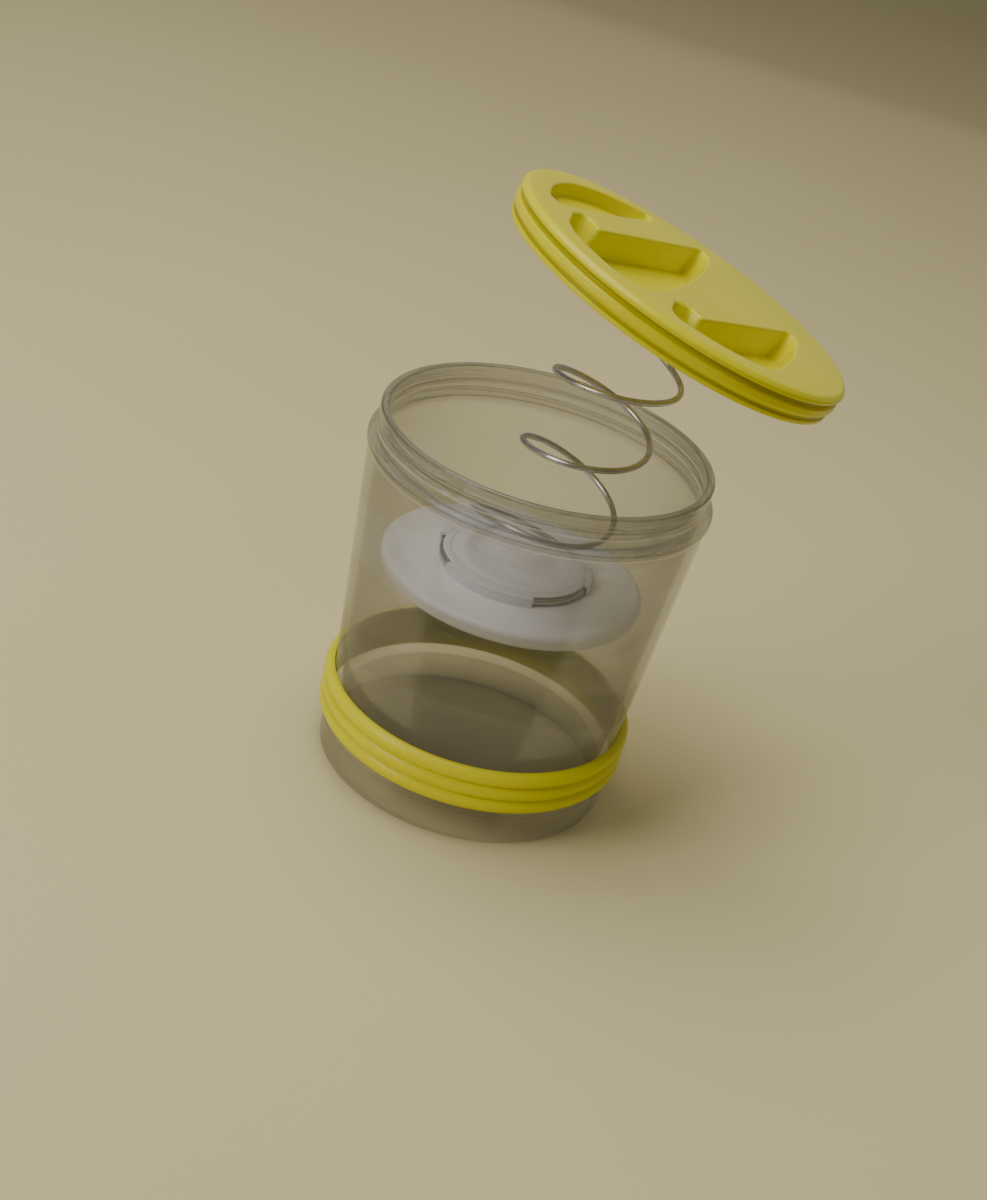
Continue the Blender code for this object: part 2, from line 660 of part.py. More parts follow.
def make_carriers(part):
    """Empties: one on the axis about which the lid swings, and one at the lid's own centre on the axis it turns on."""
    place = swing_axis_point()
    swing = put("lid_swing_axis", None, part)
    swing.location = place
    carrier = put("lid_turn_axis", None, part)
    carrier.parent = swing
    carrier.matrix_parent_inverse = Matrix.Translation(place).inverted()
    carrier.matrix_basis = lid_matrix()
    print("lid swing axis passes through", [round(value * 1000, 2) for value in place], "mm")
    return carrier


def main():
    clear_scene()
    part, helpers = collections()
    make_jar(part, helpers)
    make_base_band(part)
    make_press_plate(part, helpers)
    make_spring(part)
    carrier = make_carriers(part)
    make_retainer(part, helpers, carrier)
    make_lid(part, helpers, carrier)
    make_seal(part, carrier)


main()
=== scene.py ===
# %% [markdown]
# A pickle press stands open: a clear jar with a yellow band round its foot, a white plate that presses the
# food, a spring of round wire, and a yellow lid that is held up and aside while the spring stretches.
# Everything here is made in metres and in the jar's own frame, so a piece goes where its numbers say. The
# first cell loads the imported solids. Each piece below stands for one of them, or for a part of one, and
# is tied to the same body, except the short pieces of the spring's open coils, which are tied to none.

# %% The imported solids
import math

import bmesh
import bpy
from mathutils import Matrix, Vector


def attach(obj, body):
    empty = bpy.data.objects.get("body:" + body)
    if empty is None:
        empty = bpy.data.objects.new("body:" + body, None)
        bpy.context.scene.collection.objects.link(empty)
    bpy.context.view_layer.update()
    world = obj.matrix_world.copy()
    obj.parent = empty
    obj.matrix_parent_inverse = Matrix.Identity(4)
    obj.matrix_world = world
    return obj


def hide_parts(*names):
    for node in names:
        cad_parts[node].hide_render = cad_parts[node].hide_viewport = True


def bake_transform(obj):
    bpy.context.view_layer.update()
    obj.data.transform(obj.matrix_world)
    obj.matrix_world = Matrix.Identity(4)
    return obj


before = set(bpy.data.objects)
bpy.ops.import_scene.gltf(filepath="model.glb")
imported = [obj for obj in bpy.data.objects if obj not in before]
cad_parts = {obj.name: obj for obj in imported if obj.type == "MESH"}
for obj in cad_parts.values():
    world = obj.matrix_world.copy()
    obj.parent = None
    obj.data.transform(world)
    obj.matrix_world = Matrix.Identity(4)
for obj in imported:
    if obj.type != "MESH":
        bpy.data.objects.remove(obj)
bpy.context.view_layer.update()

print("solids:", sorted(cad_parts))

# %% [markdown]
# The camera stands 0.6 metres from the jar, a little over a third of a right angle above it, and is rolled
# to the right, which makes the jar lean in the picture. A lens of about 52 mm on a 36 mm tall frame gives
# the same crowding of near and far edges as in the photograph. The two shifts move the frame without
# turning the camera.

# %% Camera
CAMERA_HEIGHT_DEG = 33.117
CAMERA_ROLL_DEG = 15.814
CAMERA_DISTANCE = 0.6065
PHOTO_WIDTH, PHOTO_HEIGHT = 987, 1200
LENS_MM, FRAME_HEIGHT_MM = 51.556, 36.0
SHIFT_ASIDE, SHIFT_UP = 0.02743, 0.12773


def place_camera():
    raised, rolled = math.radians(CAMERA_HEIGHT_DEG), math.radians(CAMERA_ROLL_DEG)
    right = Vector((1.0, 0.0, 0.0))
    up = Vector((0.0, math.sin(raised), math.cos(raised)))
    back = right.cross(up)
    across = right * math.cos(rolled) + up * math.sin(rolled)
    upward = up * math.cos(rolled) - right * math.sin(rolled)
    data = bpy.data.cameras.new("photo_camera")
    data.sensor_fit = "VERTICAL"
    data.sensor_height = FRAME_HEIGHT_MM
    data.sensor_width = FRAME_HEIGHT_MM * PHOTO_WIDTH / PHOTO_HEIGHT
    data.lens = LENS_MM
    data.shift_x, data.shift_y = SHIFT_ASIDE, SHIFT_UP
    camera = bpy.data.objects.new("photo_camera", data)
    bpy.context.scene.collection.objects.link(camera)
    turn = Matrix((across, upward, back)).transposed().to_4x4()
    camera.matrix_world = Matrix.Translation(back * CAMERA_DISTANCE) @ turn
    bpy.context.scene.camera = camera
    return camera


camera = place_camera()
print("camera at", [round(value * 1000) for value in camera.matrix_world.translation], "mm")

# %% [markdown]
# A material is a small graph of nodes. Written out node by node it is hard to follow, so one class stands
# for a socket and takes Python's own operators: an expression on two of them adds the Math nodes for it. A
# second class makes the material, adds any other node, and feeds the shader.

# %% Values and looks
class Value:
    """One number or colour that varies over a surface."""

    def __init__(self, look, socket):
        self.look = look
        self.socket = socket

    def math(self, operation, first, second):
        return self.look.node("ShaderNodeMath", {"operation": operation}, {0: first, 1: second})

    def __add__(self, other):
        return self.math("ADD", self, other)

    __radd__ = __add__

    def __sub__(self, other):
        return self.math("SUBTRACT", self, other)

    def __rsub__(self, other):
        return self.math("SUBTRACT", other, self)

    def __mul__(self, other):
        return self.math("MULTIPLY", self, other)

    def within(self, low, high):
        """Zero up to one level and one from the other on, with a smooth step between them."""
        settings = {"interpolation_type": "SMOOTHSTEP"}
        return self.look.node("ShaderNodeMapRange", settings, {0: self, 1: low, 2: high})

    def line(self, level, half):
        """One at a level, and falling softly to zero half a width away on both sides."""
        return self.within(level - half, level) - self.within(level, level + half)


class Look:
    """A material with one Principled shader, whose plain numbers are set by name."""

    def __init__(self, name, **plain):
        self.material = bpy.data.materials.new(name)
        self.material.use_nodes = True
        self.tree = self.material.node_tree
        self.shader = self.tree.nodes["Principled BSDF"]
        for key, value in plain.items():
            self.shader.inputs[key.replace("_", " ")].default_value = value

    def node(self, kind, settings=None, values=None, output=0):
        made = self.tree.nodes.new(kind)
        for key, value in (settings or {}).items():
            setattr(made, key, value)
        for key, value in (values or {}).items():
            if isinstance(value, Value):
                self.tree.links.new(value.socket, made.inputs[key])
            else:
                made.inputs[key].default_value = value
        return Value(self, made.outputs[output])

    def place(self):
        return self.node("ShaderNodeTexCoord", output=3)

    def height(self):
        return self.node("ShaderNodeSeparateXYZ", values={0: self.place()}, output=2)

    def noise(self, scale, detail, stretch=None):
        vector = self.place()
        if stretch:
            vector = self.node("ShaderNodeMapping", values={0: vector, 3: stretch})
        return self.node("ShaderNodeTexNoise", values={0: vector, 2: scale, 3: detail})

    def blend(self, share, first, second):
        """A colour between two others."""
        settings = {"data_type": "RGBA"}
        return self.node("ShaderNodeMix", settings, {0: share, 6: first, 7: second}, output=2)

    def bump(self, height, strength, depth):
        return self.node("ShaderNodeBump", values={"Height": height, "Strength": strength, "Distance": depth})

    def feed(self, **links):
        for key, value in links.items():
            self.tree.links.new(value.socket, self.shader.inputs[key.replace("_", " ")])
        return self.material


SKIN_DEPTH = 0.00004
print("shader helpers ready")

# %% [markdown]
# Light. The object is small and glossy, so much of what is seen on it is reflected. A wide low panel stands
# behind it: it is mirrored by every surface that looks up, and makes it pale, while the pockets' floors,
# where their own walls stand in the way, keep their full colour. A soft key lamp hangs in front on the
# left, so that the walls that face right go deep, and a lamp above lights what is level. The floor is a
# plain pale sheet, a hair below the jar's foot.

# %% Floor, lamps and air
FLOOR_REACH, FLOOR_DROP = 3.0, 0.0003
LIT_SPOT = (0.0, 0.0, 0.10)
AIR_COLOUR, AIR_STRENGTH = (0.97, 0.94, 0.87, 1.0), 0.18


def lamp(name, place, size, watts, colour):
    data = bpy.data.lights.new(name, "AREA")
    data.shape = "RECTANGLE"
    data.size, data.size_y = size
    data.energy = watts
    data.color = colour
    made = bpy.data.objects.new(name, data)
    bpy.context.scene.collection.objects.link(made)
    made.location = place
    made.rotation_euler = (Vector(LIT_SPOT) - Vector(place)).to_track_quat("-Z", "Y").to_euler()


def floor_finish():
    look = Look("pale_floor", Roughness=0.9, Specular_IOR_Level=0.0)
    tone = look.noise(3.0, 2.0).within(0.3, 0.7)
    return look.feed(Base_Color=look.blend(tone, (0.73, 0.65, 0.35, 1.0), (0.75, 0.67, 0.37, 1.0)))


mesh = bpy.data.meshes.new("studio_floor")
ends = (-FLOOR_REACH, FLOOR_REACH)
mesh.from_pydata([(x, y, -FLOOR_DROP) for x in ends for y in ends], [], [(0, 2, 3, 1)])
floor = bpy.data.objects.new("studio_floor", mesh)
bpy.context.scene.collection.objects.link(floor)
floor.data.materials.append(floor_finish())

lamp("key_lamp", (-0.95, -0.72, 0.82), (0.6, 0.6), 7.2, (1.0, 0.99, 0.95))
lamp("top_lamp", (-0.20, 0.10, 1.25), (0.8, 0.8), 9.2, (1.0, 0.96, 0.93))
lamp("back_panel", (0.15, 1.30, 0.50), (2.6, 0.9), 1.0, (1.0, 0.90, 0.80))

world = bpy.data.worlds.new("studio_air")
world.use_nodes = True
air = world.node_tree.nodes["Background"].inputs
air["Color"].default_value, air["Strength"].default_value = AIR_COLOUR, AIR_STRENGTH
bpy.context.scene.world = world

# %% [markdown]
# Most pieces here were moulded round, so they are turned from a profile: a list of corners, each with its
# distance from the middle, its height and how much it is rounded. The rounding is worked out first, as
# short arcs with a point just before and after each, which keeps the flat parts flat when the mesh is
# shaded smooth. Then every point of the profile becomes a ring of vertices, and the rings are joined by
# faces.

# %% Rounded profiles and turned meshes
TURN_POINTS = 192
ARC_STEP = math.radians(15)
HOLD, ON_AXIS = 0.00012, 1e-7
LEAST_BEND, MOST_OF_A_SIDE = 0.02, 0.49
SHARP_ANGLE = math.radians(38)


def rounded(corners, closed=False, arc_step=ARC_STEP):
    """Points along a path whose corners are (distance, height, rounding), with no rounding when sharp."""
    places = [Vector(corner[:2]) for corner in corners]
    count = len(corners)
    points = []
    for i, place in enumerate(places):
        size = corners[i][2] if len(corners[i]) > 2 else 0.0
        if size == 0.0 or (not closed and i in (0, count - 1)):
            points.append(place)
            continue
        before, after = places[i - 1] - place, places[(i + 1) % count] - place
        bend = math.pi - before.angle(after)
        if bend < LEAST_BEND:
            points.append(place)
            continue
        longest = MOST_OF_A_SIDE * min(before.length, after.length)
        reach = min(size * math.tan(bend / 2), longest)
        radius = reach / math.tan(bend / 2)
        start, end = place + before.normalized() * reach, place + after.normalized() * reach
        inward = (before.normalized() + after.normalized()).normalized()
        centre = place + inward * (radius / math.cos(bend / 2))
        steps = max(2, math.ceil(bend / arc_step))
        first, last = start - centre, end - centre
        if before.length - reach > 4 * HOLD:
            points.append(start + before.normalized() * HOLD)
        turn = first.angle_signed(last)
        for k in range(steps + 1):
            spin = Matrix.Rotation(-turn * k / steps, 2)
            points.append(centre + spin @ first)
        if after.length - reach > 4 * HOLD:
            points.append(end + after.normalized() * HOLD)
    return points


def ring_of(shape, radius, height, count=TURN_POINTS):
    if radius < ON_AXIS:
        return [shape.verts.new((0.0, 0.0, height))]
    turn = 2 * math.pi / count
    places = [(radius * math.cos(turn * i), radius * math.sin(turn * i), height) for i in range(count)]
    return [shape.verts.new(place) for place in places]


def join_rings(shape, upper, lower):
    """Faces between two rings, or between a ring and a single point."""
    count = max(len(upper), len(lower))
    for i in range(count):
        k = (i + 1) % count
        corners = [upper[i % len(upper)], lower[i % len(lower)], lower[k % len(lower)], upper[k % len(upper)]]
        unique = [corner for n, corner in enumerate(corners) if corner not in corners[:n]]
        shape.faces.new(unique)


def turned(points, closed=False, count=TURN_POINTS):
    shape = bmesh.new()
    rings = [ring_of(shape, point[0], point[1], count) for point in points]
    pairs = list(zip(rings, rings[1:]))
    if closed:
        pairs.append((rings[-1], rings[0]))
    for upper, lower in pairs:
        join_rings(shape, upper, lower)
    return shape


def as_mesh(shape, name):
    mesh = bpy.data.meshes.new(name)
    bmesh.ops.recalc_face_normals(shape, faces=shape.faces)
    shape.to_mesh(mesh)
    shape.free()
    return mesh


def finish_piece(name, shape, finish, body, *nodes, slot, turn=None):
    """A mesh made into a piece: shaded, given its finish, tied to its body when one is given, and set in the
    place of the solids it stands for, which are hidden.
    """
    mesh = as_mesh(shape, name) if isinstance(shape, bmesh.types.BMesh) else shape
    if turn is not None:
        mesh.transform(turn)
    mesh.shade_smooth()
    mesh.set_sharp_from_angle(angle=SHARP_ANGLE)
    mesh.materials.clear()
    mesh.materials.append(finish)
    piece = bpy.data.objects.new(name, mesh)
    bpy.context.scene.collection.objects.link(piece)
    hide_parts(*nodes)
    if body:
        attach(piece, body)
    print(name, "has", sum(len(face.vertices) - 2 for face in mesh.polygons), "triangles")
    return piece


# %% [markdown]
# The jar is one moulding of clear plastic, with a smoky grey cast. Glass would bend what is behind it and
# show black edges. A cheap clear plastic is softer, so the shader lets part of the light straight through,
# bends the rest, and adds a little haze. The wall hides more where it is seen edge on, and less at the
# foot, where several walls are seen through each other. Moulded walls are never quite even: a slow noise
# bends the normal by a hair, and the roughness varies with another. Round the neck, each moulded edge
# gathers the light in a thin pale line or a dark one, so these are painted into the colour as highlight
# and shade lines at the heights of the edges, where the wall also hides more.

# %% Clear plastic
# Heights and half widths of the painted highlight lines and the painted shade lines round the neck.
PALE_LINES, PALE_HALF_WIDTH = (0.1196, 0.1166, 0.1103), 0.0006
DARK_LINES, DARK_HALF_WIDTH = (0.1233, 0.1187, 0.1125), 0.0005


def clear_finish():
    look = Look("clear_plastic", Transmission_Weight=0.60, IOR=1.46, Specular_IOR_Level=0.6)
    height = look.height()
    neck = height.within(0.1085, 0.1125)
    tint = look.noise(18.0, 2.0).within(0.3, 0.7)
    smoke = look.blend(tint, (0.15, 0.14, 0.13, 1.0), (0.19, 0.18, 0.17, 1.0))
    colour = look.blend(neck, smoke, (0.22, 0.215, 0.20, 1.0))
    # Painted highlights and painted shade: pale and dark lines mixed into the colour at the neck's edges.
    pale = sum(height.line(level, PALE_HALF_WIDTH) for level in PALE_LINES)
    dark = sum(height.line(level, DARK_HALF_WIDTH) for level in DARK_LINES)
    colour = look.blend(pale, colour, (0.80, 0.78, 0.74, 1.0))
    colour = look.blend(dark, colour, (0.07, 0.07, 0.06, 1.0))
    rough = look.noise(90.0, 3.0) * 0.06 + 0.05
    waves = look.noise(26.0, 2.0, stretch=(1.0, 1.0, 0.35))
    edge_on = look.node("ShaderNodeLayerWeight", values={"Blend": 0.5}, output=1)
    foot = height.within(0.0200, 0.0150)
    hiding = (edge_on * 0.45 + neck * 0.19 + pale * 0.32 + dark * 0.28 + 0.15) * (1.0 - foot * 0.45)
    return look.feed(Base_Color=colour, Roughness=rough, Alpha=hiding, Normal=look.bump(waves, 0.12, 0.0006))


clear_plastic = clear_finish()
print("made", clear_plastic.name)

# %% [markdown]
# The jar: a foot ring, a thin floor over a hollow, a body that widens upwards, a flange where the lid's
# skirt ends, and a neck. Four lugs on the neck hold the lid down. They are made with Geometry Nodes,
# because they repeat: an arc is swept with a small section, and the result is set down four times round the
# neck.

# %% Jar profile
FOOT_RADIUS, BODY_LOW_RADIUS, BODY_TOP_RADIUS = 0.0506, 0.0503, 0.0555
NECK_RADIUS, NECK_INNER, RIM_TOP, WALL = 0.0540, 0.0512, 0.1238, 0.0028
NECK_LOW_RADIUS = NECK_RADIUS - 0.0005
JAR_CORNERS = [
    # The floor, the inner wall and the rim.
    (0.0, 0.0150),
    (0.0462, 0.0150, 0.0060),
    (BODY_LOW_RADIUS - WALL, 0.0300, 0.02),
    (BODY_TOP_RADIUS - WALL, 0.1092, 0.004),
    (NECK_INNER + 0.0003, 0.1135, 0.002),
    (NECK_INNER, RIM_TOP, 0.0012),
    (NECK_RADIUS, RIM_TOP, 0.0012),
    # Down the neck and over the flange.
    (NECK_RADIUS, 0.1198, 0.0005),
    (NECK_LOW_RADIUS, 0.1192, 0.0005),
    (NECK_LOW_RADIUS, 0.1174, 0.0005),
    (NECK_RADIUS, 0.1168, 0.0005),
    (NECK_RADIUS, 0.1142, 0.0006),
    (0.0562, 0.1137, 0.0008),
    (0.0564, 0.1121, 0.0010),
    (0.0557, 0.1106, 0.0010),
    # Down the outer wall, past the ledge under the band, to the foot ring and the hollow in it.
    (BODY_TOP_RADIUS, 0.1092, 0.003),
    (BODY_LOW_RADIUS, 0.0296, 0.01),
    (BODY_LOW_RADIUS, 0.0133, 0.0004),
    (0.0518, 0.0133, 0.0004),
    (0.0518, 0.0112, 0.0006),
    (FOOT_RADIUS, 0.0106, 0.0008),
    (FOOT_RADIUS, 0.0, 0.0008),
    (0.0474, 0.0, 0.0008),
    (0.0474, 0.0120, 0.0010),
    (0.0, 0.0120),
]
jar_points = rounded(JAR_CORNERS)
print("jar profile:", len(JAR_CORNERS), "corners,", len(jar_points), "points")

# %% [markdown]
# The tree for anything that sits round a ring: an arc of a given radius and sweep is swept with a rounded
# section, the bar is copied round the axis, and a material is set. The lugs, the plate's hooks and the
# retainer's hooks all come from it with other numbers. The tip says how thin a bar runs out at its two
# ends.

# %% Bars round a ring, in Geometry Nodes
GEOMETRY, MATERIAL = "NodeSocketGeometry", "NodeSocketMaterial"
FLOAT, WHOLE = "NodeSocketFloat", "NodeSocketInt"
BAR_STEPS, BAR_ROUNDING, BAR_ROUNDING_STEPS, TIP_SHARE = 48, 0.0004, 3, 0.16


class Tree:
    """A Geometry Nodes tree with named inputs, one of which has to be called Finish."""

    def __init__(self, name, inputs):
        self.group = bpy.data.node_groups.new(name, "GeometryNodeTree")
        self.group.interface.new_socket("Geometry", in_out="OUTPUT", socket_type=GEOMETRY)
        for label, kind in inputs.items():
            self.group.interface.new_socket(label, in_out="INPUT", socket_type=kind)
        self.entry = self.group.nodes.new("NodeGroupInput")
        self.exit = self.group.nodes.new("NodeGroupOutput")

    def node(self, kind, settings=None, values=None):
        made = self.group.nodes.new(kind)
        for key, value in (settings or {}).items():
            setattr(made, key, value)
        for key, value in (values or {}).items():
            if isinstance(value, bpy.types.NodeSocket):
                self.group.links.new(value, made.inputs[key])
            else:
                made.inputs[key].default_value = value
        return made

    def given(self, label):
        return self.entry.outputs[label]

    def close(self, geometry):
        """End the tree: copies are made real, and everything gets the finish that is handed in."""
        real = self.node("GeometryNodeRealizeInstances", values={0: geometry})
        values = {"Geometry": real.outputs[0], "Material": self.given("Finish")}
        painted = self.node("GeometryNodeSetMaterial", values=values)
        self.group.links.new(painted.outputs[0], self.exit.inputs[0])
        return self.group


def run_tree(group, values, source=None):
    """The plain mesh that a tree makes from named values, on an empty mesh or on a given object's data."""
    data = source or bpy.data.meshes.new(group.name)
    carrier = bpy.data.objects.new(group.name, data)
    bpy.context.scene.collection.objects.link(carrier)
    step = carrier.modifiers.new(group.name, "NODES")
    step.node_group = group
    for item in group.interface.items_tree:
        if item.in_out == "INPUT" and item.name in values:
            step[item.identifier] = values[item.name]
    graph = bpy.context.evaluated_depsgraph_get()
    mesh = bpy.data.meshes.new_from_object(carrier.evaluated_get(graph))
    bpy.data.objects.remove(carrier, do_unlink=True)
    return mesh


def bars_tree():
    tree = Tree("bars_round_a_ring", {
        "Radius": FLOAT, "Sweep": FLOAT, "Depth": FLOAT, "Thickness": FLOAT, "Height": FLOAT, "Start": FLOAT,
        "Count": WHOLE, "Tip": FLOAT, "Finish": MATERIAL,
    })
    path = tree.node("GeometryNodeCurveArc", {"mode": "RADIUS"}, {
        "Resolution": BAR_STEPS, "Radius": tree.given("Radius"), "Start Angle": tree.given("Start"),
        "Sweep Angle": tree.given("Sweep"),
    })
    section = tree.node("GeometryNodeCurvePrimitiveQuadrilateral", values={
        "Width": tree.given("Depth"), "Height": tree.given("Thickness"),
    })
    soft = tree.node("GeometryNodeFilletCurve", {"mode": "POLY"}, {
        "Curve": section.outputs[0], "Radius": BAR_ROUNDING, "Count": BAR_ROUNDING_STEPS,
    })
    along = tree.node("GeometryNodeSplineParameter").outputs["Factor"]
    from_end = tree.node("ShaderNodeMath", {"operation": "PINGPONG"}, {0: along, 1: 0.5})
    tips = tree.node("ShaderNodeMapRange", {"interpolation_type": "SMOOTHSTEP"}, {
        0: from_end.outputs[0], 1: 0.0, 2: TIP_SHARE, 3: tree.given("Tip"), 4: 1.0,
    })
    bar = tree.node("GeometryNodeCurveToMesh", values={
        "Curve": path.outputs[0], "Profile Curve": soft.outputs[0], "Scale": tips.outputs[0],
        "Fill Caps": True,
    })
    shift = tree.node("ShaderNodeCombineXYZ", values={2: tree.given("Height")})
    raised = tree.node("GeometryNodeTransform", values={
        "Geometry": bar.outputs[0], "Translation": shift.outputs[0],
    })
    spots = tree.node("GeometryNodePoints", values={"Count": tree.given("Count")})
    order = tree.node("GeometryNodeInputIndex")
    step = tree.node("ShaderNodeMath", {"operation": "DIVIDE"}, {0: 2 * math.pi, 1: tree.given("Count")})
    angle = tree.node("ShaderNodeMath", {"operation": "MULTIPLY"}, {0: order.outputs[0], 1: step.outputs[0]})
    spin = tree.node("ShaderNodeCombineXYZ", values={2: angle.outputs[0]})
    copies = tree.node("GeometryNodeInstanceOnPoints", values={
        "Points": spots.outputs[0], "Instance": raised.outputs[0], "Rotation": spin.outputs[0],
    })
    return tree.close(copies.outputs[0])


bars = bars_tree()


def bars_mesh(inner, outer, low, top, start_deg, sweep_deg, count, finish, tip=1.0):
    """Bars between two radii and two heights, evenly set round the axis."""
    return run_tree(bars, {
        "Radius": (inner + outer) / 2, "Sweep": math.radians(sweep_deg), "Depth": outer - inner,
        "Thickness": top - low, "Height": (low + top) / 2, "Start": math.radians(start_deg),
        "Count": count, "Tip": tip, "Finish": finish,
    })


print("tree", bars.name, "has", len(bars.nodes), "nodes")

# %% [markdown]
# The lugs have to be one with the neck, or the light would meet walls inside the clear plastic. A Boolean
# union does that. The lugs stand a little way up the neck, where the lid's own lugs pass under them when it
# is turned.

# %% The jar
JAR_LUG_RADII, JAR_LUG_HEIGHTS = (NECK_RADIUS - WALL / 2, 0.0552), (0.1203, 0.1223)
JAR_LUG_START_DEG, LUG_SWEEP_DEG, LUGS, JAR_LUG_TIP = 25.2, 39.6, 4, 0.2


def united(base, addition):
    """Two closed meshes made one."""
    objects = [bpy.data.objects.new("making", mesh) for mesh in (base, addition)]
    for one in objects:
        bpy.context.scene.collection.objects.link(one)
    step = objects[0].modifiers.new("join", "BOOLEAN")
    step.operation, step.solver, step.object = "UNION", "EXACT", objects[1]
    graph = bpy.context.evaluated_depsgraph_get()
    made = bpy.data.meshes.new_from_object(objects[0].evaluated_get(graph))
    for one in objects:
        bpy.data.objects.remove(one, do_unlink=True)
    return made


neck_lugs = bars_mesh(*JAR_LUG_RADII, *JAR_LUG_HEIGHTS, JAR_LUG_START_DEG, LUG_SWEEP_DEG, LUGS, clear_plastic,
                      JAR_LUG_TIP)
reach = max(vertex.co.xy.length for vertex in neck_lugs.vertices)
print("lugs reach", round(reach * 1000, 2), "mm from the axis")
jar_mesh = united(as_mesh(turned(jar_points), "jar_wall"), neck_lugs)
finish_piece("clear_jar", jar_mesh, clear_plastic, "jar", "jar", slot="clear_plastic")

# %% [markdown]
# The band and the lid are of the same strong yellow, moulded with another gloss each. Its colour drifts a
# little in slow clouds, its roughness and its coat vary too, and a very fine noise gives it the skin of
# moulded plastic. A painted shade can be handed in: a mask where the yellow is mixed towards a deep olive,
# for places that the light reaches less.

# %% Yellow plastic
def yellow_finish(name, roughness, coat, skin_strength, shade=None):
    look = Look(name, IOR=1.5, Coat_Roughness=0.08, Specular_IOR_Level=0.28)
    clouds = look.noise(22.0, 3.0).within(0.3, 0.7)
    colour = look.blend(clouds, (0.77, 0.705, 0.0, 1.0), (0.81, 0.755, 0.002, 1.0))
    # Painted shade: the colour goes towards deep olive where the handed-in mask is one.
    if shade:
        colour = look.blend(shade(look), colour, (0.34, 0.30, 0.0, 1.0))
    rough = look.noise(140.0, 4.0) * 0.10 + roughness
    skin = look.noise(900.0, 2.0)
    gloss = look.noise(30.0, 2.0) * 0.15 + coat
    return look.feed(Base_Color=colour, Roughness=rough, Coat_Weight=gloss,
                     Normal=look.bump(skin, skin_strength, SKIN_DEPTH))


band_yellow = yellow_finish("yellow_band", 0.36, 0.05, 0.10)
print("made", band_yellow.name)

# %% [markdown]
# The yellow band is a shape that follows a rule: three rounded ridges between two plain edges. A grid of
# points is wrapped into a ring by one expression for the distance from the axis and one for the height. Its
# two long edges lie against the jar's wall and are joined there.

# %% Band with ridges, in Geometry Nodes
BAND_LOW, BAND_TOP, BAND_RIDGES = 0.0136, 0.0292, 3
BAND_INNER, BAND_OUTER, BAND_EDGE = BODY_LOW_RADIUS + 0.0003, 0.0535, 0.0011
BAND_POINTS_ROUND, BAND_POINTS_ACROSS = 241, 97
RIDGE_FULLNESS, EDGE_ROW, SEAM = 0.55, 0.004, 0.00001


def band_tree():
    tree = Tree("ridged_band", {
        "Inner Radius": FLOAT, "Edge Depth": FLOAT, "Ridge Depth": FLOAT, "Low": FLOAT, "Top": FLOAT,
        "Ridges": WHOLE, "Finish": MATERIAL,
    })
    sheet = tree.node("GeometryNodeMeshGrid", values={
        "Size X": 1.0, "Size Y": 1.0, "Vertices X": BAND_POINTS_ROUND, "Vertices Y": BAND_POINTS_ACROSS,
    })
    where = tree.node("ShaderNodeSeparateXYZ", values={0: tree.node("GeometryNodeInputPosition").outputs[0]})

    def math_node(operation, first, second=0.0, third=0.0):
        values = {0: first, 1: second, 2: third}
        return tree.node("ShaderNodeMath", {"operation": operation}, values).outputs[0]

    def spread(value, *ends):
        """A value stretched from the range of the first two ends to that of the last two."""
        values = dict(enumerate((value, *ends)))
        return tree.node("ShaderNodeMapRange", values=values).outputs[0]

    angle = math_node("MULTIPLY", math_node("ADD", where.outputs[0], 0.5), 2 * math.pi)
    run = math_node("ADD", where.outputs[1], 0.5)
    # The outermost fiftieth of the sheet on each side is a plain edge, and the ridges lie between the two.
    up = spread(run, 0.02, 0.98, 0.0, 1.0)
    turns = math_node("MULTIPLY", math_node("MULTIPLY", up, math.pi), tree.given("Ridges"))
    wave = math_node("ABSOLUTE", math_node("SINE", turns))
    ridge = math_node("MULTIPLY", math_node("POWER", wave, RIDGE_FULLNESS), tree.given("Ridge Depth"))
    outer = math_node("ADD", math_node("ADD", tree.given("Inner Radius"), tree.given("Edge Depth")), ridge)
    inside = math_node("COMPARE", math_node("ABSOLUTE", where.outputs[1]), 0.5, EDGE_ROW)
    fall = math_node("SUBTRACT", tree.given("Inner Radius"), outer)
    radius = math_node("MULTIPLY_ADD", inside, fall, outer)
    height = spread(run, 0.01, 0.99, tree.given("Low"), tree.given("Top"))
    spot = tree.node("ShaderNodeCombineXYZ", values={
        0: math_node("MULTIPLY", math_node("COSINE", angle), radius),
        1: math_node("MULTIPLY", math_node("SINE", angle), radius),
        2: height,
    })
    bent = tree.node("GeometryNodeSetPosition", values={
        "Geometry": sheet.outputs[0], "Position": spot.outputs[0],
    })
    return tree.close(bent.outputs[0])


band_skin = run_tree(band_tree(), {
    "Inner Radius": BAND_INNER, "Edge Depth": BAND_EDGE, "Ridge Depth": BAND_OUTER - BAND_INNER - BAND_EDGE,
    "Low": BAND_LOW, "Top": BAND_TOP, "Ridges": BAND_RIDGES, "Finish": band_yellow,
})


def closed_ring(mesh):
    """The sheet's seam merged, and its two open edges joined on the inside."""
    shape = bmesh.new()
    shape.from_mesh(mesh)
    bmesh.ops.remove_doubles(shape, verts=shape.verts, dist=SEAM)
    edges = [edge for edge in shape.edges if edge.is_boundary]
    bmesh.ops.bridge_loops(shape, edges=edges)
    return shape


finish_piece("base_band_ridged", closed_ring(band_skin), band_yellow, "jar", "base_band", slot="yellow_band")

# %% [markdown]
# The plate is white and slightly soft to the light, as such plastic is: the light goes in a little way and
# comes out again, which fills its shadows with a warm grey. It is turned, with a shallow dish in its boss.
# A thin brim round the boss, open where the wire climbs, covers the spring's lowest coil, and three hooks
# with a lip in front hold it. Brim, hooks and lips come from the same tree as the lugs.

